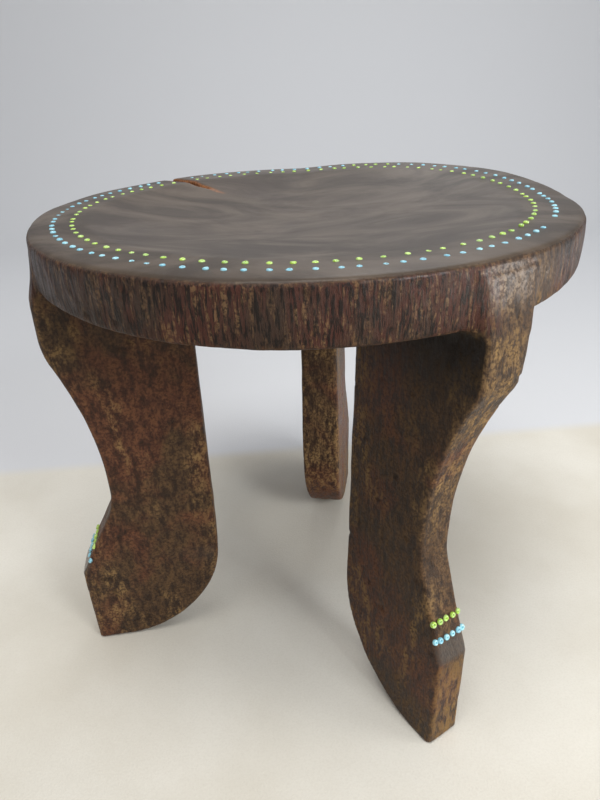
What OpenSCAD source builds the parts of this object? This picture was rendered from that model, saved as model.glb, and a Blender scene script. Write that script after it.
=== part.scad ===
// Three-legged stool carved from one block of wood.
// Glass seed beads are set into sockets round the seat and across the ankles.
// The seat's axis is the Z axis and the floor is the plane z = 0.

/* [Seat] */
// Diameter of the seat over its rim
seat_d = 272; // [230:1:330]
// Height of the rim above the floor
seat_h = 255; // [215:1:310]
// Depth of the rim's side, from its top to its lower edge
rim_t = 25; // [18:1:30]
// Width of the flat band that carries the bead rings
band_w = 28; // [24:1:36]
// Depth of the dish at its middle
dish_deep = 9; // [5:1:12]
// How far the underside swells below the rim's lower edge
belly = 5; // [2:1:8]
// Rounding of the rim's upper edge
rim_round = 3; // [1:0.5:5]

/* [Legs] */
// Distance from the seat's axis to a leg's inner edge
leg_inner_r = 63; // [50:1:74]
// Width of a leg at its waist
waist_w = 54; // [42:1:60]
// Height of the waist
waist_z = 118; // [105:1:130]
// Depth of the upright shoulder under the rim
shoulder_h = 26; // [18:1:40]
// How far the shoulders swell out past the rim
swell = 4; // [1:1:6]
// Height of the ankle's corner
ankle_z = 56; // [46:1:64]
// Radius of the heel, which curves up from the sole
heel_r = 66; // [45:1:70]
// Radius of the hollow between a leg and the seat
root_r = 11; // [5:1:16]
// Turn of the left leg about the seat's axis
left_turn = 189; // [180:1:200]
// Turn of the right leg about the seat's axis
right_turn = 304; // [294:1:314]
// Turn of the back leg about the seat's axis
back_turn = 81; // [70:1:90]
// Thickness of the left leg
left_t = 22; // [18:1:28]
// Thickness of the right leg
right_t = 20; // [18:1:28]
// Thickness of the back leg
back_t = 25; // [18:1:28]
// How far the feet reach past the seat's rim
foot_reach = 3; // [0:1:8]

/* [Beads] */
// Diameter of a seat bead
seat_bead_d = 2.6; // [2:0.1:3.2]
// Diameter of an ankle bead
ankle_bead_d = 3.2; // [2.4:0.1:3.6]
// Distance from the rim to the centre of the outer ring
outer_ring_in = 12.5; // [10:0.5:14]
// Distance between the two rings
ring_gap = 9; // [6:0.5:11]
// Number of places in the outer ring
outer_places = 96; // [72:1:110]
// Number of places in the inner ring
inner_places = 84; // [60:1:98]
// Distance between neighbouring ankle beads
ankle_pitch = 4.2; // [4:0.1:4.5]
// Clearance between a bead and its socket, all round
bead_gap = 0.1; // [0.05:0.05:0.2]

/* [Split] */
// Where the drying split opens at the rim
split_turn = 131; // [120:1:145]
// Length of the split, from the rim inwards
split_len = 56; // [30:1:75]
// Width of the split at the rim
split_w = 5; // [3:0.5:8]
// Depth of the split below the rim
split_deep = 7; // [4:0.5:10]

/* [Hidden] */
$fn = 96;
// The legs in order: left, right, back. A handmade stool's legs aren't quite alike.
leg_turn = [left_turn, right_turn, back_turn];
leg_t = [left_t, right_t, back_t];
// Each leg's shift to its own left and outwards, its lean to the left, and its foot's own extra reach
leg_aside = [15, -13, 0];
leg_out = [0, 0, -12];
leg_lean = [4.5, 2.5, 0];
foot_extra = [3, -2, 8];
seat_r = seat_d / 2;
under_z = seat_h - rim_t;
dish_r = seat_r - band_w;
dish_ball_r = (dish_r * dish_r + dish_deep * dish_deep) / (2 * dish_deep);
belly_r = dish_r + 6;
belly_ball_r = (belly_r * belly_r + belly * belly) / (2 * belly);
shoulder_z = under_z - shoulder_h;
// The blades are cut a little long and trimmed to the rim and to the floor.
spare = swell + 3;
sole_trim = 1;
// A leg's shoulder stands this far behind the rim, and its root starts this far inside the seat.
shoulder_set = 0.4;
root_sink = 0.6;
// The hollow above the ankle turns with this radius before the ankle's straight slope.
ankle_turn_r = 40;
// The waist runs straight for this height before that hollow begins.
waist_flat = 4;
outer_ring_r = seat_r - outer_ring_in;
inner_ring_r = outer_ring_r - ring_gap;
// The outer ring's beads are green between these turns, and some places have lost their bead.
green_from = 61;
green_to = 75;
lost_turn = 329;
lost_half = 4;
// No bead is set this near to the split, in degrees.
split_half = 3.5;
// The share of a place that a ring's bead may stand off its middle
place_slip = 0.15;
// The split bends this far sideways half way along, and this far at its tip.
split_mid_bend = 2.5;
split_bend = 6;
green_count = 5;
blue_count = 6;
// Rows' distances from the ankle's corner, up its slope
blue_row_up = 12.5;
green_row_up = 21.5;
// A bead's length as a share of its diameter, and how far its end stands out of the wood
bead_stretch = 0.72;
seat_proud = 0.45;
ankle_proud = 1.1;

function apart(a, b) = abs((a - b + 540) % 360 - 180);
function arc(centre, r, from, to, steps) =
    [for (i = [0:steps]) let (a = from + (to - from) * i / steps)
        centre + r * [cos(a), sin(a)]];

// Turns of the beads in a ring, a little uneven, without the places that are empty
function ring_turns(places, seed) =
    let (uneven = rands(-place_slip, place_slip, places, seed))
    [for (i = [0:places - 1]) let (a = (i + 0.5 + uneven[i]) * 360 / places)
        if (apart(a, split_turn) > split_half) a];
outer_turns = [for (a = ring_turns(outer_places, 3)) if (apart(a, lost_turn) > lost_half) a];
inner_turns = ring_turns(inner_places, 8);
function is_green(a) = a > green_from && a < green_to;

// Radius of a foot, and the ankle's slope from its corner up to the hollow
function inner_r(leg) = leg_inner_r + leg_out[leg];
function waist_r(leg) = inner_r(leg) + waist_w;
function foot_r(leg) = seat_r + foot_reach + foot_extra[leg] + leg_out[leg];
function slope_ball(leg) = [waist_r(leg) + ankle_turn_r, waist_z - waist_flat];
function slope_run(leg) = [foot_r(leg), ankle_z] - slope_ball(leg);
function slope_turn(leg) = let (v = slope_run(leg))
    atan2(v[1], v[0]) - acos(ankle_turn_r / norm(v));
// Outward direction of the ankle's slope, and a point on it that far up from the corner
function slope_out(leg) = -[cos(slope_turn(leg)), sin(slope_turn(leg))];
function slope_point(leg, up) = let (out = slope_out(leg))
    [foot_r(leg), ankle_z] + up * [-out[1], out[0]];

// A leg's side view: distance from the seat's axis against height
function leg_outline(leg) =
    let (rise = shoulder_z - waist_z, run = seat_r - waist_r(leg),
         hollow_r = (rise * rise + run * run) / (2 * run),
         reach = run + spare)
    concat(
        [[seat_r + spare, seat_h - 2 * rim_round]],
        arc([waist_r(leg) + hollow_r, waist_z], hollow_r, 180 - acos(1 - reach / hollow_r), 180, 16),
        arc(slope_ball(leg), ankle_turn_r, 180, 360 + slope_turn(leg), 8),
        [[foot_r(leg), ankle_z], [foot_r(leg), -sole_trim]],
        arc([inner_r(leg) + heel_r, heel_r], heel_r + sole_trim, 270, 180, 16),
        [[inner_r(leg) - sole_trim, seat_h - 2 * rim_round]]);

// Stands a leg's side view in its own upright plane, leaning about its foot
module at_leg(leg) {
    rotate([0, 0, leg_turn[leg]])
        translate([0, leg_aside[leg], 0])
            rotate([90 - leg_lean[leg], 0, 0])
                children();
}

module leg_blade(leg) {
    at_leg(leg)
        linear_extrude(height = leg_t[leg], center = true)
            polygon(leg_outline(leg));
}

// The hollow curve on both sides of a leg where it grows out of the seat
module leg_root(leg) {
    aside = leg_aside[leg] + tan(leg_lean[leg]) * under_z;
    half = leg_t[leg] / 2;
    rotate([0, 0, leg_turn[leg]])
        translate([inner_r(leg), aside, under_z + root_sink])
            rotate([90, 0, 90])
                linear_extrude(height = seat_r + spare - inner_r(leg))
                    difference() {
                        translate([-half - root_r, -root_r])
                            square([2 * (half + root_r), root_r + belly]);
                        for (side = [-1, 1])
                            translate([side * (half + root_r), -root_r])
                                circle(r = root_r);
                    }
}

module legs() {
    intersection() {
        union() {
            for (leg = [0:2]) {
                leg_blade(leg);
                leg_root(leg);
            }
        }
        union() {
            translate([0, 0, under_z - spare])
                cylinder(r1 = seat_r + swell, r2 = seat_r - shoulder_set,
                    h = rim_t - rim_round + spare, $fn = 180);
            translate([0, 0, waist_z])
                cylinder(r = seat_r + swell, h = under_z - spare - waist_z, $fn = 180);
            cylinder(r = seat_r + 3 * spare, h = waist_z, $fn = 180);
        }
    }
}

module seat_slab() {
    translate([0, 0, under_z])
        cylinder(r = seat_r, h = rim_t - rim_round, $fn = 180);
    translate([0, 0, seat_h - rim_round])
        rotate_extrude($fn = 180)
            intersection() {
                square([seat_r, rim_round]);
                union() {
                    square([seat_r - rim_round, rim_round]);
                    translate([seat_r - rim_round, 0])
                        circle(r = rim_round, $fn = 48);
                }
            }
    intersection() {
        translate([0, 0, under_z - belly + belly_ball_r])
            sphere(r = belly_ball_r, $fn = 180);
        translate([0, 0, under_z - belly])
            cylinder(r = belly_r + 1, h = belly + 1);
    }
}

module dish() {
    translate([0, 0, seat_h - dish_deep + dish_ball_r])
        sphere(r = dish_ball_r, $fn = 240);
}

module drying_split() {
    mid_r = seat_r - split_len / 2;
    mid_half = split_w / 5;
    rotate([0, 0, split_turn])
        translate([0, 0, seat_h - split_deep])
            linear_extrude(height = split_deep + 1)
                polygon([[seat_r - split_len, -split_bend], [mid_r, -split_mid_bend - mid_half],
                    [seat_r + 1, -split_w / 2], [seat_r + 1, split_w / 2],
                    [mid_r, -split_mid_bend + mid_half]]);
}

function bead_h(d) = d * bead_stretch;

// A glass seed bead, standing on its end: a short tube with a rounded upper end
module bead(d) {
    wall_r = d * 0.18;
    rotate_extrude($fn = 32)
        translate([d / 2 - wall_r, 0]) {
            translate([0, bead_h(d) - wall_r])
                circle(r = wall_r, $fn = 24);
            translate([-wall_r, 0])
                square([2 * wall_r, bead_h(d) - wall_r]);
        }
}

module socket(d) {
    cylinder(d = d + 2 * bead_gap, h = 2 * bead_h(d), $fn = 32);
}

module on_ring(r, turns) {
    for (a = turns)
        rotate([0, 0, a])
            translate([r, 0, seat_h + seat_proud - bead_h(seat_bead_d)])
                children();
}

// A row of beads across an ankle's slope, standing square to it
module on_ankle(leg, count, up) {
    foot = slope_point(leg, up) + (ankle_proud - bead_h(ankle_bead_d)) * slope_out(leg);
    tilt = atan2(slope_out(leg)[0], slope_out(leg)[1]);
    at_leg(leg)
        for (i = [0:count - 1])
            translate([foot[0], foot[1], (i - (count - 1) / 2) * ankle_pitch])
                rotate([0, 0, -tilt])
                    rotate([-90, 0, 0])
                        children();
}

module carved_body() {
    color([0.27, 0.18, 0.14])
        difference() {
            union() {
                seat_slab();
                legs();
            }
            dish();
            drying_split();
            on_ring(outer_ring_r, outer_turns) socket(seat_bead_d);
            on_ring(inner_ring_r, inner_turns) socket(seat_bead_d);
            for (leg = [0:2]) {
                on_ankle(leg, green_count, green_row_up) socket(ankle_bead_d);
                on_ankle(leg, blue_count, blue_row_up) socket(ankle_bead_d);
            }
        }
}

module seat_outer_blue_beads() {
    color([0.45, 0.72, 0.80])
        on_ring(outer_ring_r, [for (a = outer_turns) if (!is_green(a)) a])
            bead(seat_bead_d);
}

module seat_outer_green_beads() {
    color([0.62, 0.78, 0.25])
        on_ring(outer_ring_r, [for (a = outer_turns) if (is_green(a)) a])
            bead(seat_bead_d);
}

module seat_inner_green_beads() {
    color([0.62, 0.78, 0.25])
        on_ring(inner_ring_r, inner_turns)
            bead(seat_bead_d);
}

module ankle_green_beads(leg) {
    color([0.62, 0.78, 0.25])
        on_ankle(leg, green_count, green_row_up)
            bead(ankle_bead_d);
}

module ankle_blue_beads(leg) {
    color([0.45, 0.75, 0.85])
        on_ankle(leg, blue_count, blue_row_up)
            bead(ankle_bead_d);
}

carved_body();
seat_outer_blue_beads();
seat_outer_green_beads();
seat_inner_green_beads();
ankle_green_beads(0);  // left_ankle_green_beads
ankle_blue_beads(0);  // left_ankle_blue_beads
ankle_green_beads(1);  // right_ankle_green_beads
ankle_blue_beads(1);  // right_ankle_blue_beads
ankle_green_beads(2);  // back_ankle_green_beads
ankle_blue_beads(2);  // back_ankle_blue_beads
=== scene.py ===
import bpy
import math
import numpy as np
from mathutils import Matrix, Vector


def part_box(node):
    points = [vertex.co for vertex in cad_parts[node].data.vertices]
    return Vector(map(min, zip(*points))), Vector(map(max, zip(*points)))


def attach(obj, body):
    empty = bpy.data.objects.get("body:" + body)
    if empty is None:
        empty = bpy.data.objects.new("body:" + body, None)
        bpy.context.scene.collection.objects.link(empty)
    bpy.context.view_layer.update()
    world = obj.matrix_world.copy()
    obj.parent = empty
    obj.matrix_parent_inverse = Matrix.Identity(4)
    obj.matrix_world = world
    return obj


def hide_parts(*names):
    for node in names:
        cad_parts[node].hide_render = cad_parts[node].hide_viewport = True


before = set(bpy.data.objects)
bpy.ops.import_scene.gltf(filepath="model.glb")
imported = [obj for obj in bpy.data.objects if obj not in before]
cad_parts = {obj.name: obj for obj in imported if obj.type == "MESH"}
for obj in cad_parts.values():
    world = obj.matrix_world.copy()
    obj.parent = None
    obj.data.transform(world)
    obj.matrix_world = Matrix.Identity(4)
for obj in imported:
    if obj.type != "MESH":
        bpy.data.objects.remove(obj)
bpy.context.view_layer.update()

# The stool is carved here as a signed distance field, in millimetres, and then meshed.
MM = 0.001
CELL = 1.3
low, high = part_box("carved_body")
SEAT_R = high[0] / MM
SEAT_H = high[2] / MM
RIM_T = 25.0
BAND_W = 28.0
DISH_DEEP = 9.0
BELLY = 5.0
UNDER_Z = SEAT_H - RIM_T
DISH_R = SEAT_R - BAND_W
BELLY_R = DISH_R + 6
# Twice the rim's rise at its back right, where it is highest
WARP_RISE = 9.0
# Widths of the rounding where surfaces meet
TOP_ROUND = 3.4
UNDER_ROUND = 2.2
LEG_ROUND = 2.6
# Heights of the carved surface's unevenness, from the widest waves to the chips
BROAD_WAVE = 0.3
COARSE_DENT = 0.16
FINE_DENT = 0.12
CHIP_DEEP = 0.5

# Legs: the CAD's sizes, repeated here
INNER_R = 63.0
WAIST_W = 54.0
WAIST_Z = 118.0
SHOULDER_Z = UNDER_Z - 26.0
ANKLE_Z = 56.0
HEEL_R = 66.0
ANKLE_TURN_R = 40.0
FOOT_REACH = 3.0
SWELL = 4.0
# The waist runs straight for this height above the hollow over the ankle.
WAIST_FLAT = 4
# A leg's outline is drawn this far past its shoulder, and this far above the seat. The field cuts
# both back.
SPARE = 3
SPARE_TOP = 20
# A leg's wood ends this far below the seat's upper surface.
LEG_SINK = 10
# Left, right and back leg. turn to foot are the CAD's. The rest is only the visual model's: how
# much further the shoulder stands out, how much fuller its far side is, how much lower it starts,
# and how widely the leg blends into the seat.
LEGS = [
    dict(turn=189, t=22, aside=15, out=0, lean=4.5, foot=3, bulge=0, spread=0, drop=0, blend=3.0),
    dict(turn=304, t=20, aside=-13, out=0, lean=2.5, foot=-2, bulge=1, spread=4, drop=9, blend=9.0),
    dict(turn=81, t=25, aside=0, out=-12, lean=0, foot=8, bulge=0, spread=0, drop=0, blend=6.0),
]
# Where the right leg's outer face runs into the rim, as a turn about the seat's axis
RIGHT_SHOULDER_TURN = 308

# The drying split, 2 mm wider at the rim than the CAD's. SPLIT_DEEP is how much deeper it is at the
# rim than at its tip.
SPLIT_TURN = 131.0
SPLIT_LEN = 56.0
SPLIT_W = 7.0
SPLIT_DEEP = 6.0
SPLIT_TIP_DEEP = 1.5
SPLIT_BEND = 6.0

# Beads: diameter, and how far they stand proud
SEAT_BEAD_D = 2.6
SEAT_PROUD = 0.5
ANKLE_BEAD_D = 3.2
ANKLE_PROUD = 1.2
FIRST_BEAD_SEED = 40


# ---------------------------------------------------------------- numbers on fields

def smooth_max(a, b, k):
    h = np.maximum(k - np.abs(a - b), 0) / k
    return np.maximum(a, b) + h * h * k / 4


def smooth_min(a, b, k):
    return -smooth_max(-a, -b, k)


def smooth_step(a, b, x):
    t = np.clip((x - a) / (b - a), 0, 1)
    return t * t * (3 - 2 * t)


class Lattice:
    """Smooth value noise on a repeating lattice of seeded random numbers."""

    def __init__(self, seed, size=32):
        self.size = size
        self.values = np.random.default_rng(seed).uniform(-1, 1, (size,) * 3).astype(np.float32)

    def __call__(self, x, y, z):
        out = 0
        cells, parts = [], []
        for c in (x, y, z):
            f = np.floor(c)
            cells.append(f.astype(np.int64))
            t = (c - f).astype(np.float32)
            parts.append(t * t * (3 - 2 * t))
        for i in (0, 1):
            wx = parts[0] if i else 1 - parts[0]
            for j in (0, 1):
                wy = parts[1] if j else 1 - parts[1]
                for k in (0, 1):
                    wz = parts[2] if k else 1 - parts[2]
                    at = [(c + s) % self.size for c, s in zip(cells, (i, j, k))]
                    out = out + wx * wy * wz * self.values[at[0], at[1], at[2]]
        return out


broad, medium, fine, chips = Lattice(1), Lattice(2), Lattice(3), Lattice(4)


# ---------------------------------------------------------------- the carved body

def arc(cx, cz, r, start, stop, steps):
    a = np.radians(np.linspace(start, stop, steps + 1))
    return np.stack([cx + r * np.cos(a), cz + r * np.sin(a)], -1)


def leg_outline(leg):
    """A leg's side view: distance out from the seat's axis against height."""
    inner = INNER_R + leg["out"]
    waist = inner + WAIST_W
    foot = SEAT_R + FOOT_REACH + leg["foot"] + leg["out"]
    rise, run = SHOULDER_Z - leg["drop"] - WAIST_Z, SEAT_R - waist
    hollow_r = (rise * rise + run * run) / (2 * run)
    reach = run + SWELL + SPARE
    ball = (waist + ANKLE_TURN_R, WAIST_Z - WAIST_FLAT)
    vx, vz = foot - ball[0], ANKLE_Z - ball[1]
    turn = math.degrees(math.atan2(vz, vx) - math.acos(ANKLE_TURN_R / math.hypot(vx, vz)))
    return np.concatenate([
        [[SEAT_R + SWELL + SPARE, SEAT_H + SPARE_TOP]],
        arc(waist + hollow_r, WAIST_Z, hollow_r,
            180 - math.degrees(math.acos(1 - reach / hollow_r)), 180, 24),
        arc(ball[0], ball[1], ANKLE_TURN_R, 180, 360 + turn, 10),
        [[foot, ANKLE_Z], [foot, -8]],
        arc(inner + HEEL_R, HEEL_R, HEEL_R + 1, 270, 180, 24),
        [[inner - 1, SEAT_H + SPARE_TOP]]])


class Outline:
    """Signed distance to a closed outline, tabled on a fine grid."""
    STEP = 1.0

    def __init__(self, points):
        self.low = points.min(0) - 30
        size = np.ceil((points.max(0) + 30 - self.low) / self.STEP).astype(int) + 1
        x, z = np.meshgrid(*(self.low[i] + self.STEP * np.arange(size[i]) for i in (0, 1)),
                           indexing="ij")
        best = np.full(x.shape, 1e9)
        inside = np.zeros(x.shape, bool)
        for a, b in zip(points, np.roll(points, -1, 0)):
            d = b - a
            if not d.any():
                continue
            t = np.clip(((x - a[0]) * d[0] + (z - a[1]) * d[1]) / (d @ d), 0, 1)
            best = np.minimum(best, np.hypot(x - a[0] - t * d[0], z - a[1] - t * d[1]))
            if a[1] != b[1]:
                across = (a[1] > z) != (b[1] > z)
                inside ^= across & (x < a[0] + (z - a[1]) * d[0] / d[1])
        self.table = np.where(inside, -best, best).astype(np.float32)

    def __call__(self, x, z):
        i = np.clip((x - self.low[0]) / self.STEP, 0, self.table.shape[0] - 1.001)
        j = np.clip((z - self.low[1]) / self.STEP, 0, self.table.shape[1] - 1.001)
        a, b = i.astype(np.int64), j.astype(np.int64)
        s, t = i - a, j - b
        top = self.table[a, b] * (1 - s) + self.table[a + 1, b] * s
        bottom = self.table[a, b + 1] * (1 - s) + self.table[a + 1, b + 1] * s
        return top * (1 - t) + bottom * t


for leg in LEGS:
    leg["outline"] = Outline(leg_outline(leg))


def seat_warp(x, y):
    """The rim stands higher at the back right."""
    return WARP_RISE * np.maximum(x, 0) / SEAT_R * np.maximum(y, 0) / SEAT_R


def seat_top(x, y, r):
    dish = DISH_DEEP * (1 - np.minimum(r / DISH_R, 1) ** 2)
    fall = 0.5 * smooth_step(SEAT_R - 12, SEAT_R, r)
    return SEAT_H - dish - fall + seat_warp(x, y)


def seat_field(x, y, z):
    r = np.hypot(x, y)
    turn = np.arctan2(y, x)
    drop = SEAT_H - z
    # The side isn't quite round, widest on the right, and bellies very slightly between its edges.
    side_r = SEAT_R + 0.3 * np.sin(5 * turn) - 0.0045 * (drop - 11) ** 2
    side_r = side_r + 2.0 * np.maximum(np.cos(turn - 0.2), 0) ** 2
    thick = RIM_T + 1.5 * np.sin(-turn) - 3.5 * np.abs(np.cos(turn)) ** 2
    under = SEAT_H - thick - BELLY * (1 - np.minimum(r / BELLY_R, 1) ** 2)
    top = seat_top(x, y, r)
    d = smooth_max(z - top, r - side_r, TOP_ROUND)
    return smooth_max(d, under + seat_warp(x, y) * 0.6 - z, UNDER_ROUND)


def leg_place(leg, x, y, z):
    a = math.radians(leg["turn"])
    out = x * math.cos(a) + y * math.sin(a)
    side = y * math.cos(a) - x * math.sin(a) - leg["aside"] - math.tan(math.radians(leg["lean"])) * z
    return out, side


def leg_field(leg, x, y, z):
    out, side = leg_place(leg, x, y, z)
    half = leg["t"] / 2 + 0.4 * np.sin(z / 31 + leg["turn"])
    # The right leg spreads into the seat more on its far side.
    half = half + leg["spread"] * smooth_step(150, UNDER_Z, z) * (side > 0)
    d = smooth_max(leg["outline"](out, z), np.abs(side) - half, LEG_ROUND)
    # The shoulder stands out past the rim and dies away into its side.
    swell = SWELL + leg["bulge"]
    reach = SEAT_R + swell - (swell + 1.5) * np.clip((z - UNDER_Z + 6) / (RIM_T - 3), 0, 1)
    r = np.hypot(x, y)
    d = smooth_max(d, r - reach - 30 * smooth_step(WAIST_Z, WAIST_Z - 20, z), 3.0)
    d = np.maximum(d, z - seat_top(x, y, r) + LEG_SINK)
    return smooth_max(d, -z, 1.5)


def split_place(x, y):
    """Distance in from the rim along the split, and sideways from its middle line."""
    a = math.radians(SPLIT_TURN)
    out = x * math.cos(a) + y * math.sin(a)
    side = y * math.cos(a) - x * math.sin(a)
    inward = SEAT_R - out
    bend = -SPLIT_BEND * (np.maximum(inward, 0) / SPLIT_LEN) ** 1.5
    return inward, side - bend + 0.5 * np.sin(inward / 3.1)


def split_half(inward):
    """Half the split's width, narrowing from the rim to nothing at its tip."""
    return SPLIT_W / 2 * (1 - np.clip(inward / SPLIT_LEN, 0, 1)) ** 0.7


def split_field(x, y, z):
    inward, side = split_place(x, y)
    share = 1 - np.clip(inward / SPLIT_LEN, 0, 1)
    floor = SEAT_H - SPLIT_DEEP * share ** 0.6 + seat_warp(x, y) - SPLIT_TIP_DEEP
    d = np.maximum(np.abs(side) - split_half(inward), inward - SPLIT_LEN)
    return smooth_max(d, floor - z, 3.0)


def carve(x, y, z):
    """The whole wooden body's field. Negative is wood."""
    d = seat_field(x, y, z)
    for leg in LEGS:
        out, side = leg_place(leg, x, y, z)
        near = (np.abs(side) < leg["t"] / 2 + 26) & (out > INNER_R + leg["out"] - 30)
        if near.any():
            d = d.copy()
            d[near] = smooth_min(d[near], leg_field(leg, x[near], y[near], z[near]), leg["blend"])
    d = d + BROAD_WAVE * broad(x / 34, y / 34, z / 44)
    return smooth_max(d, -split_field(x, y, z), 1.0)


def surface_net(field, box_low, box_high, cell):
    """Vertices and quads of the surface where the field is zero."""
    size = np.ceil((box_high - box_low) / cell).astype(int) + 1
    axes = [box_low[i] + cell * np.arange(size[i]) for i in range(3)]
    values = np.empty(size, np.float32)
    for i in range(0, size[0], 16):
        x, y, z = np.meshgrid(axes[0][i:i + 16], axes[1], axes[2], indexing="ij")
        values[i:i + 16] = field(x, y, z)
    inside = values < 0
    count = np.zeros(size - 1, np.int8)
    corners = [(i, j, k) for i in (0, 1) for j in (0, 1) for k in (0, 1)]
    for i, j, k in corners:
        count += inside[i:size[0] - 1 + i, j:size[1] - 1 + j, k:size[2] - 1 + k]
    cells = np.argwhere((count > 0) & (count < 8))
    at = {c: values[cells[:, 0] + c[0], cells[:, 1] + c[1], cells[:, 2] + c[2]] for c in corners}
    total, weight = np.zeros((len(cells), 3)), np.zeros(len(cells))
    for a in corners:
        for axis in range(3):
            if a[axis]:
                continue
            b = tuple(1 if n == axis else a[n] for n in range(3))
            crosses = (at[a] < 0) != (at[b] < 0)
            t = np.where(crosses, at[a] / np.where(crosses, at[a] - at[b], 1), 0)
            point = np.tile(np.array(a, float), (len(cells), 1))
            point[:, axis] = t
            total += point * crosses[:, None]
            weight += crosses
    points = box_low + cell * (cells + total / weight[:, None])
    number = np.full(size - 1, -1, np.int64)
    number[tuple(cells.T)] = np.arange(len(cells))
    quads = []
    for axis in range(3):
        u, v = (axis + 1) % 3, (axis + 2) % 3
        step = np.eye(3, dtype=int)
        first = inside[tuple(slice(0, s - 1) if n == axis else slice(None) for n, s in enumerate(size))]
        second = inside[tuple(slice(1, s) if n == axis else slice(None) for n, s in enumerate(size))]
        edges = np.argwhere(first != second)
        ok = np.all((edges[:, [u, v]] > 0) & (edges[:, [u, v]] < size[[u, v]] - 1), axis=1)
        edges = edges[ok]
        solid = first[tuple(edges.T)]
        ring = [number[tuple((edges - s).T)] for s in (0 * step[u], step[u], step[u] + step[v], step[v])]
        face = np.stack(ring, -1)
        face[~solid] = face[~solid][:, ::-1]
        quads.append(face)
    return points, np.concatenate(quads)


def gradient(field, p, e):
    return np.stack([field(*(p + e * d).T) - field(*(p - e * d).T) for d in np.eye(3)], -1) / (2 * e)


def project(field, points, e=0.4, rounds=2):
    """Points moved onto the field's surface, and the surface's directions there."""
    for _ in range(rounds):
        g = gradient(field, points, e)
        length = np.maximum((g * g).sum(1), 0.3)
        points = points - g * (field(*points.T) / length)[:, None]
    g = gradient(field, points, e)
    return points, g / np.maximum(np.linalg.norm(g, axis=1), 1e-6)[:, None]


def mesh_object(name, points, faces):
    mesh = bpy.data.meshes.new(name)
    mesh.from_pydata((np.asarray(points) * MM).tolist(), [], np.asarray(faces).tolist())
    mesh.update()
    obj = bpy.data.objects.new(name, mesh)
    bpy.context.scene.collection.objects.link(obj)
    mesh.polygons.foreach_set("use_smooth", np.ones(len(mesh.polygons), bool))
    return obj


def add_mask(obj, name, values):
    layer = obj.data.attributes.new(name, "FLOAT", "POINT")
    layer.data.foreach_set("value", np.asarray(values, np.float32))


def make_wood():
    """The carved body, with masks for its material."""
    margin = 6.0
    points, quads = surface_net(carve, np.array(low) / MM - margin, np.array(high) / MM + margin, CELL)
    points, normal = project(carve, points)
    x, y, z = points.T
    r = np.hypot(x, y)
    top = smooth_step(0.5, 0.85, normal[:, 2]) * smooth_step(SEAT_H - 20, SEAT_H - 14, z)
    # Tool marks: soft dents and small chips, much shallower on the seat
    dents = COARSE_DENT * medium(x / 9, y / 9, z / 15) + FINE_DENT * fine(x / 3.1, y / 3.1, z / 9)
    chip = smooth_step(0.62, 0.9, chips(x / 5, y / 5, z / 5)) * CHIP_DEEP
    points = points + normal * ((dents - chip) * (1 - 0.85 * top))[:, None]
    points[:, 2] = np.maximum(points[:, 2], 0)
    wood = mesh_object("carved_wood", points, quads)
    inward, side = split_place(x, y)
    half = split_half(inward)
    raw = smooth_step(half + 1.4, half, np.abs(side))
    raw = raw * (inward < SPLIT_LEN + 2) * (z > SEAT_H - 14)
    add_mask(wood, "seat_face", top)
    add_mask(wood, "raw", raw)
    # Wear on arrises, and painted shade in nooks: where the surface bends sharply outwards or inwards
    bend = sum(carve(*(points + 2.5 * d).T) for d in np.concatenate([np.eye(3), -np.eye(3)])) / 6
    add_mask(wood, "wear", smooth_step(0.25, 0.9, bend))
    add_mask(wood, "painted_crease_shade", smooth_step(-0.15, -0.8, bend))
    outward = (normal[:, 0] * x + normal[:, 1] * y) / np.maximum(r, 1)
    rim = (1 - top) * smooth_step(UNDER_Z - 6, UNDER_Z + 1, z) * smooth_step(0.3, 0.6, outward)
    # Over the right leg the rim and the leg's outer face are one surface.
    off_leg = np.abs((np.degrees(np.arctan2(y, x)) - RIGHT_SHOULDER_TURN + 540) % 360 - 180)
    add_mask(wood, "rim", rim * smooth_step(2, 12, off_leg))
    rubbed = 0.25 + 0.50 * smooth_step(34, 4, off_leg)
    add_mask(wood, "polish", rim * smooth_step(UNDER_Z, UNDER_Z + 18, z) * rubbed)
    add_mask(wood, "toe", smooth_step(0.5, 0.8, outward) * smooth_step(ANKLE_Z, ANKLE_Z - 6, z))
    # Painted shade: the wood's colour is darkened close under the seat, where the seat shades it, most on the
    # right leg and its inner face.
    by_right_leg = smooth_step(50, 25, off_leg)
    below_rim = smooth_step(UNDER_Z + 2, UNDER_Z - 2, z)
    shaded = smooth_step(165, 225, z) * below_rim * (1 - smooth_step(0.4, 0.7, outward))
    upright = smooth_step(0.7, 0.3, np.abs(normal[:, 2]))
    painted_shade = shaded * (0.45 + 0.52 * by_right_leg * upright)
    faces_left = smooth_step(0.2, 0.6, -normal[:, 0])
    inner_face = by_right_leg * upright * faces_left * smooth_step(UNDER_Z, UNDER_Z - 6, z)
    add_mask(wood, "painted_shade", np.maximum(painted_shade, 0.25 * inner_face))
    facet = smooth_step(ANKLE_Z - 2, ANKLE_Z + 1, z) * smooth_step(ANKLE_Z + 12, ANKLE_Z + 8, z)
    add_mask(wood, "ankle", smooth_step(0.3, 0.6, outward) * facet)
    return wood


# ---------------------------------------------------------------- glass beads

def islands(obj):
    """The separate solids of a CAD node, as arrays of points in millimetres."""
    mesh = obj.data
    points = np.empty(len(mesh.vertices) * 3)
    mesh.vertices.foreach_get("co", points)
    points = points.reshape(-1, 3) / MM
    _, same = np.unique(np.round(points, 3), axis=0, return_inverse=True)
    same = same.ravel()
    edges = np.empty(len(mesh.edges) * 2, np.int64)
    mesh.edges.foreach_get("vertices", edges)
    a, b = same[edges.reshape(-1, 2)].T
    label = np.arange(same.max() + 1)
    while True:
        least = np.minimum(label[a], label[b])
        new = label.copy()
        np.minimum.at(new, a, least)
        np.minimum.at(new, b, least)
        new = new[new]
        if (new == label).all():
            break
        label = new
    of_point = label[same]
    return [points[of_point == n] for n in np.unique(of_point)]


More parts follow.
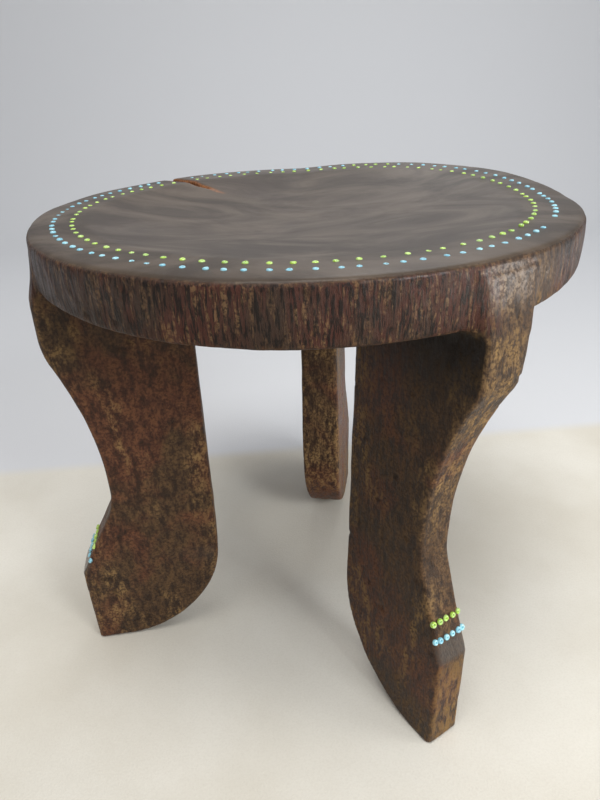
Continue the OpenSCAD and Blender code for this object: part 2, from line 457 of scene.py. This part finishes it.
def bead_axis(points):
    """A bead's own axis: the direction in which its points spread unlike the other two."""
    centre = (points.max(0) + points.min(0)) / 2
    spread, axes = np.linalg.eigh(np.cov((points - points.mean(0)).T))
    lone = 0 if spread[1] - spread[0] > spread[2] - spread[1] else 2
    axis = axes[:, lone]
    outward = np.array([centre[0], centre[1], 150.0])
    return centre, axis * np.sign(axis @ outward)


def bead_mesh(across, tall, hole, rings=20, steps=12):
    """A seed bead: a short glass tube with full round ends."""
    wall = (across - hole) / 4
    mid = (across + hole) / 4
    a = np.linspace(0, 2 * np.pi, steps, endpoint=False)
    c, s = np.cos(a), np.sin(a)
    squash = 2 / 2.6
    r = mid + wall * np.sign(c) * np.abs(c) ** squash
    h = tall / 2 * np.sign(s) * np.abs(s) ** squash
    t = np.linspace(0, 2 * np.pi, rings, endpoint=False)
    points = np.stack([np.outer(np.cos(t), r), np.outer(np.sin(t), r), np.tile(h, (rings, 1))], -1)
    i, j = np.meshgrid(np.arange(rings), np.arange(steps), indexing="ij")

    def at(p, q):
        return (p % rings) * steps + q % steps

    faces = np.stack([at(i, j), at(i + 1, j), at(i + 1, j + 1), at(i, j + 1)], -1).reshape(-1, 4)
    return points.reshape(-1, 3), faces


def make_beads(node, across, proud, seed):
    """Every bead of a CAD node again, a little uneven, pressed into the wood."""
    rng = np.random.default_rng(seed)
    all_points, all_faces, tone, low_end = [], [], [], []
    start = 0
    for solid in islands(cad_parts[node]):
        centre, axis = bead_axis(solid)
        size = across * rng.uniform(0.92, 1.08)
        tall = size * rng.uniform(0.62, 0.74)
        points, faces = bead_mesh(size, tall, size * rng.uniform(0.16, 0.24))
        # The bead's upper end stands proud of the carved surface.
        if axis[2] > 0.95:
            centre[2] = seat_top(centre[0], centre[1], np.hypot(centre[0], centre[1]))
            surface = centre
        else:
            surface = project(carve, centre[None].copy(), rounds=4)[0][0]
        lift = proud * rng.uniform(0.6, 1.25) - tall / 2
        tilt = axis + rng.normal(0, 0.09, 3)
        turn = np.array(Vector(tilt).to_track_quat("Z", "Y").to_matrix())
        height = points[:, 2] / tall + 0.5
        points = points @ turn.T + surface + axis * lift
        all_points.append(points)
        all_faces.append(faces + start)
        start += len(points)
        tone.append(np.full(len(points), rng.uniform(0, 1)))
        # A value that grows towards the bead's lower end, where it sits in the wood, unevenly from bead to
        # bead
        low_end.append(1 - height + rng.uniform(-0.15, 0.25))
    glass = mesh_object(node + "_glass", np.concatenate(all_points), np.concatenate(all_faces))
    add_mask(glass, "tone", np.concatenate(tone))
    add_mask(glass, "low_end", np.concatenate(low_end))
    return glass


# ---------------------------------------------------------------- materials

class Nodes:
    """A short hand for building node materials."""

    def __init__(self, name):
        self.material = bpy.data.materials.new(name)
        self.material.use_nodes = True
        self.tree = self.material.node_tree
        self.shader = self.tree.nodes["Principled BSDF"]

    def add(self, kind, **values):
        node = self.tree.nodes.new(kind)
        for key, value in values.items():
            setattr(node, key, value)
        return node

    def link(self, source, target):
        self.tree.links.new(source, target)

    def put(self, socket, value):
        if isinstance(value, bpy.types.NodeSocket):
            self.link(value, socket)
        else:
            socket.default_value = value

    def place(self, scale=(1, 1, 1)):
        """Position on the stool, in metres, stretched by a scale."""
        coordinates = self.add("ShaderNodeTexCoord")
        mapping = self.add("ShaderNodeMapping")
        self.link(coordinates.outputs["Object"], mapping.inputs["Vector"])
        mapping.inputs["Scale"].default_value = scale
        return mapping.outputs["Vector"]

    def noise(self, where, scale, detail=4, rough=0.55, warp=0.0):
        node = self.add("ShaderNodeTexNoise")
        self.link(where, node.inputs["Vector"])
        node.inputs["Scale"].default_value = scale
        node.inputs["Detail"].default_value = detail
        node.inputs["Roughness"].default_value = rough
        node.inputs["Distortion"].default_value = warp
        return node.outputs["Fac"]

    def ramp(self, value, start, stop, low_value=0.0, high_value=1.0):
        node = self.add("ShaderNodeMapRange", interpolation_type="SMOOTHSTEP")
        self.put(node.inputs["Value"], value)
        ends = {"From Min": start, "From Max": stop, "To Min": low_value, "To Max": high_value}
        for key, number in ends.items():
            node.inputs[key].default_value = number
        return node.outputs["Result"]

    def math(self, operation, a, b):
        node = self.add("ShaderNodeMath", operation=operation)
        self.put(node.inputs[0], a)
        self.put(node.inputs[1], b)
        return node.outputs[0]

    def mix(self, share, a, b):
        node = self.add("ShaderNodeMix", data_type="RGBA")
        self.put(node.inputs[0], share)
        for socket, value in ((node.inputs[6], a), (node.inputs[7], b)):
            self.put(socket, value if isinstance(value, bpy.types.NodeSocket) else (*value, 1))
        return node.outputs[2]

    def mask(self, name):
        return self.add("ShaderNodeAttribute", attribute_name=name).outputs["Fac"]

    def bump(self, height, strength, distance, under=None):
        node = self.add("ShaderNodeBump")
        self.link(height, node.inputs["Height"])
        node.inputs["Strength"].default_value = strength
        node.inputs["Distance"].default_value = distance
        if under is not None:
            self.link(under, node.inputs["Normal"])
        return node.outputs["Normal"]


def wood_material():
    n = Nodes("carved wood")
    plain = n.place()
    grain_place = n.place((1, 1, 0.13))
    streak_place = n.place((1, 1, 0.4))
    seat_face, rim, raw, wear, painted_crease_shade = (n.mask(k) for k in ("seat_face", "rim", "raw", "wear", "painted_crease_shade"))
    toe, ankle = n.mask("toe"), n.mask("ankle")
    grain = n.noise(grain_place, 1000, 5, 0.65)
    coarse_grain = n.noise(grain_place, 480, 5, 0.68, 0.3)
    cloud = n.noise(plain, 16, 5, 0.6, 0.4)
    blotch = n.noise(streak_place, 34, 5, 0.62, 0.5)
    mottle = n.noise(streak_place, 290, 6, 0.70)
    speck = n.noise(plain, 620, 4, 0.7)
    # Legs: brown and red-brown wood, mottled and specked with dark
    side = n.mix(n.ramp(cloud, 0.44, 0.58), (0.100, 0.052, 0.026), (0.150, 0.050, 0.027))
    side = n.mix(n.ramp(mottle, 0.34, 0.58, 0.80, 0), side, (0.022, 0.012, 0.007))
    side = n.mix(n.ramp(speck, 0.38, 0.56, 0.60, 0), side, (0.016, 0.009, 0.006))
    # Ochre dust, in drifts and in the grain
    drift = n.math("MULTIPLY", n.ramp(mottle, 0.42, 0.62), n.ramp(blotch, 0.44, 0.60, 0.2, 1.0))
    drift = n.math("MULTIPLY", drift, n.ramp(speck, 0.40, 0.56, 0.15, 1.0))
    side = n.mix(n.math("MULTIPLY", drift, 0.95), side, (0.320, 0.200, 0.085))
    side = n.mix(n.math("MULTIPLY", toe, n.ramp(mottle, 0.38, 0.60, 0, 0.6)), side, (0.24, 0.135, 0.045))
    side = n.mix(n.math("MULTIPLY", ankle, 0.75), side, (0.045, 0.034, 0.028))
    # The rim's side: darker and redder, combed with fine upright marks
    edge = n.mix(n.ramp(blotch, 0.42, 0.60), (0.050, 0.027, 0.018), (0.074, 0.024, 0.016))
    edge = n.mix(n.ramp(grain, 0.47, 0.57, 0, 0.9), edge, (0.008, 0.005, 0.004))
    comb = n.math("MULTIPLY", n.ramp(coarse_grain, 0.50, 0.60), n.ramp(speck, 0.42, 0.58, 0.1, 1.0))
    edge = n.mix(n.math("MULTIPLY", comb, n.ramp(blotch, 0.34, 0.60, 0.25, 0.75)), edge, (0.23, 0.130, 0.060))
    side = n.mix(rim, side, edge)
    # Seat: grey-brown and rubbed, with the swirl of the end grain. Its colours are also set lighter than the
    # wood's own, a painted sheen in place of part of its reflection.
    swirl = n.noise(n.place((1, 1.9, 1)), 13, 6, 0.58, 1.5)
    seat = n.mix(n.ramp(swirl, 0.34, 0.68), (0.050, 0.035, 0.024), (0.110, 0.079, 0.054))
    seat = n.mix(n.ramp(cloud, 0.50, 0.72, 0, 0.55), seat, (0.050, 0.034, 0.027))
    seat = n.mix(n.ramp(speck, 0.58, 0.72, 0, 0.15), seat, (0.17, 0.13, 0.10))
    colour = n.mix(seat_face, side, seat)
    # Worn arrises, raw wood in the split, pale chips, and painted shade in the hollows
    worn = n.math("MULTIPLY", wear, n.ramp(mottle, 0.44, 0.60))
    colour = n.mix(n.math("MULTIPLY", worn, 0.7), colour, (0.25, 0.105, 0.045))
    raw_wood = n.mix(n.ramp(grain, 0.35, 0.7), (0.36, 0.150, 0.055), (0.12, 0.045, 0.020))
    colour = n.mix(raw, colour, raw_wood)
    spots = n.add("ShaderNodeTexVoronoi")
    n.link(plain, spots.inputs["Vector"])
    spots.inputs["Scale"].default_value = 95
    ragged = n.math("ADD", spots.outputs["Distance"], n.math("MULTIPLY", speck, 0.10))
    small = n.ramp(ragged, 0.13, 0.17, 1, 0)
    pick = n.add("ShaderNodeSeparateColor")
    n.link(spots.outputs["Color"], pick.inputs["Color"])
    rare = n.math("GREATER_THAN", pick.outputs["Red"], 0.975)
    chip = n.math("MULTIPLY", n.math("MULTIPLY", small, rare), n.math("SUBTRACT", 1.0, seat_face))
    colour = n.mix(n.math("MULTIPLY", chip, 0.8), colour, (0.42, 0.27, 0.20))
    # Painted shade in creases and hollows
    colour = n.mix(n.math("MULTIPLY", painted_crease_shade, 0.7), colour, (0.012, 0.008, 0.006))
    # Painted shade under the seat, darkest on the right leg
    colour = n.mix(n.mask("painted_shade"), colour, (0.010, 0.006, 0.004))
    n.put(n.shader.inputs["Base Color"], colour)
    gloss = n.ramp(mottle, 0.35, 0.7, 0.36, 0.60)
    gloss = n.math("ADD", gloss, n.math("MULTIPLY", drift, 0.25))
    gloss = n.math("SUBTRACT", gloss, n.math("MULTIPLY", ankle, 0.12))
    # The seat is rubbed evenly, so its sheen follows only the broad swirl.
    gloss = n.math("MULTIPLY", gloss, n.math("SUBTRACT", 1.0, seat_face))
    gloss = n.math("ADD", gloss, n.math("MULTIPLY", seat_face, n.ramp(swirl, 0.34, 0.68, 0.52, 0.42)))
    n.put(n.shader.inputs["Roughness"], gloss)
    height = n.math("ADD", n.math("MULTIPLY", grain, 0.6), n.math("MULTIPLY", speck, 0.4))
    height = n.math("MULTIPLY", height, n.ramp(seat_face, 0, 1, 1.0, 0.04))
    uneven = n.math("MULTIPLY", mottle, n.ramp(seat_face, 0, 1, 1.0, 0.1))
    n.put(n.shader.inputs["Normal"], n.bump(height, 0.8, 0.0012, n.bump(uneven, 0.5, 0.0014)))
    n.shader.inputs["Specular IOR Level"].default_value = 0.22
    polish = n.math("MULTIPLY", n.mask("polish"), n.ramp(speck, 0.40, 0.60, 0.35, 1.0))
    polish = n.math("ADD", polish, n.math("MULTIPLY", ankle, 0.6))
    n.put(n.shader.inputs["Coat Weight"], n.math("ADD", polish, n.math("MULTIPLY", seat_face, 0.25)))
    n.shader.inputs["Coat Roughness"].default_value = 0.27
    return n.material


def bead_material(name, light, deep):
    n = Nodes(name)
    tone, low_end = n.mask("tone"), n.mask("low_end")
    cloud = n.noise(n.place(), 900, 3)
    colour = n.mix(n.ramp(tone, 0, 1), light, deep)
    colour = n.mix(n.ramp(cloud, 0.35, 0.7, 0, 0.3), colour, (0.75, 0.85, 0.85))
    # The glass is darker towards its lower end, by the wood
    low_end_dark = n.math("MULTIPLY", n.ramp(low_end, 0.55, 1.05), n.ramp(cloud, 0.3, 0.6, 0.5, 1))
    colour = n.mix(low_end_dark, colour, (0.05, 0.035, 0.025))
    n.put(n.shader.inputs["Base Color"], colour)
    n.put(n.shader.inputs["Roughness"], n.ramp(cloud, 0.3, 0.7, 0.10, 0.32))
    n.shader.inputs["Coat Weight"].default_value = 0.5
    n.shader.inputs["Coat Roughness"].default_value = 0.08
    n.put(n.shader.inputs["Normal"], n.bump(cloud, 0.15, 0.0002))
    return n.material


# ---------------------------------------------------------------- camera, floor and light

def aim(obj, place, target):
    obj.location = place
    obj.rotation_euler = (Vector(target) - Vector(place)).to_track_quat("-Z", "Y").to_euler()


# The view, from in front and above: the lens in mm, turns in degrees, and a place in seat radii
LENS = 29.25
YAW, PITCH, ROLL = -0.8, 27.2, -2.1
CAMERA_PLACE = (0, -2.545, 2.34)


def make_camera():
    camera = bpy.data.objects.new("camera", bpy.data.cameras.new("camera"))
    bpy.context.scene.collection.objects.link(camera)
    camera.data.sensor_width = 36
    camera.data.lens = LENS
    yaw, pitch, roll = (math.radians(a) for a in (YAW, PITCH, ROLL))
    ahead = Vector((math.sin(yaw) * math.cos(pitch), math.cos(yaw) * math.cos(pitch), -math.sin(pitch)))
    right = Vector((math.cos(yaw), -math.sin(yaw), 0))
    up = right.cross(ahead)
    across = right * math.cos(roll) + up * math.sin(roll)
    upright = up * math.cos(roll) - right * math.sin(roll)
    place = Vector(CAMERA_PLACE) * SEAT_R * MM
    camera.matrix_world = Matrix((
        (across.x, upright.x, -ahead.x, place.x),
        (across.y, upright.y, -ahead.y, place.y),
        (across.z, upright.z, -ahead.z, place.z),
        (0, 0, 0, 1)))
    bpy.context.scene.camera = camera


# The cloth ends this far behind the stool's axis, in metres, and the backdrop's own colour begins.
# The line between them runs aslant.
HORIZON_Y = 0.165
HORIZON_SLANT = -0.10
# The floor lies this many millimetres under the soles, so that the two faces don't coincide.
FLOOR_DROP = 0.3


def make_floor():
    n = Nodes("floor cloth")
    plain = n.place()
    cloth = n.mix(n.ramp(n.noise(plain, 5, 5), 0.35, 0.65), (0.70, 0.66, 0.57), (0.80, 0.77, 0.69))
    weave = n.noise(plain, 900, 3)
    cloth = n.mix(n.ramp(weave, 0.4, 0.7, 0, 0.12), cloth, (0.55, 0.50, 0.42))
    where = n.add("ShaderNodeSeparateXYZ")
    n.link(plain, where.inputs["Vector"])
    far = n.math("ADD", where.outputs["Y"], n.math("MULTIPLY", where.outputs["X"], HORIZON_SLANT))
    tone = n.mix(n.ramp(far, HORIZON_Y, HORIZON_Y + 0.02), cloth, (0.72, 0.73, 0.75))
    n.put(n.shader.inputs["Base Color"], tone)
    n.put(n.shader.inputs["Normal"], n.bump(weave, 0.3, 0.0006))
    n.shader.inputs["Roughness"].default_value = 0.9
    reach = 4000.0
    rise = 1500.0
    steps = 24
    bend = 500.0
    back = 1500.0
    curve = [(-reach, 0.0), (back - bend, 0.0)]
    curve += [(back - bend + bend * math.sin(a), bend - bend * math.cos(a))
              for a in np.linspace(0, math.pi / 2, steps)[1:]]
    curve += [(back, rise)]
    points = [(x, y, z - FLOOR_DROP) for y, z in curve for x in (-reach, reach)]
    faces = [(2 * i, 2 * i + 1, 2 * i + 3, 2 * i + 2) for i in range(len(curve) - 1)]
    floor = mesh_object("floor", points, faces)
    floor.data.materials.append(n.material)


def add_light(name, place, target, size, power, colour):
    lamp = bpy.data.lights.new(name, "AREA")
    lamp.shape = "DISK"
    lamp.size = size
    lamp.energy = power
    lamp.color = colour
    obj = bpy.data.objects.new(name, lamp)
    bpy.context.scene.collection.objects.link(obj)
    aim(obj, place, target)


def make_light():
    bpy.context.scene.view_settings.view_transform = "Standard"
    world = bpy.data.worlds.new("studio")
    bpy.context.scene.world = world
    world.use_nodes = True
    background = world.node_tree.nodes["Background"]
    background.inputs["Color"].default_value = (0.94, 0.95, 1.0, 1)
    background.inputs["Strength"].default_value = 0.27
    middle = (0, 0, 0.15)
    add_light("overhead", (-0.1, -0.4, 1.7), middle, 1.0, 17, (1.0, 0.98, 0.95))
    add_light("window", (0.9, -1.1, 1.0), middle, 0.5, 9, (0.95, 0.98, 1.0))
    add_light("back", (0.3, 1.2, 1.3), middle, 0.8, 3, (0.92, 0.96, 1.0))
    add_light("side", (0.85, -0.28, 0.22), middle, 0.5, 4, (1.0, 0.99, 0.96))


make_camera()
make_floor()
make_light()

wood = make_wood()
wood.data.materials.append(wood_material())
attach(wood, "root")
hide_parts("carved_body")

BLUE = bead_material("blue glass", (0.36, 0.78, 0.90), (0.20, 0.56, 0.72))
GREEN = bead_material("green glass", (0.56, 0.84, 0.10), (0.36, 0.62, 0.05))
for number, node in enumerate(sorted(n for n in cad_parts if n.endswith("_beads"))):
    on_seat = node.startswith("seat")
    across, proud = (SEAT_BEAD_D, SEAT_PROUD) if on_seat else (ANKLE_BEAD_D, ANKLE_PROUD)
    glass = make_beads(node, across, proud, FIRST_BEAD_SEED + number)
    is_blue = "blue" in node
    glass.data.materials.append(BLUE if is_blue else GREEN)
    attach(glass, "root")
    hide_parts(node)
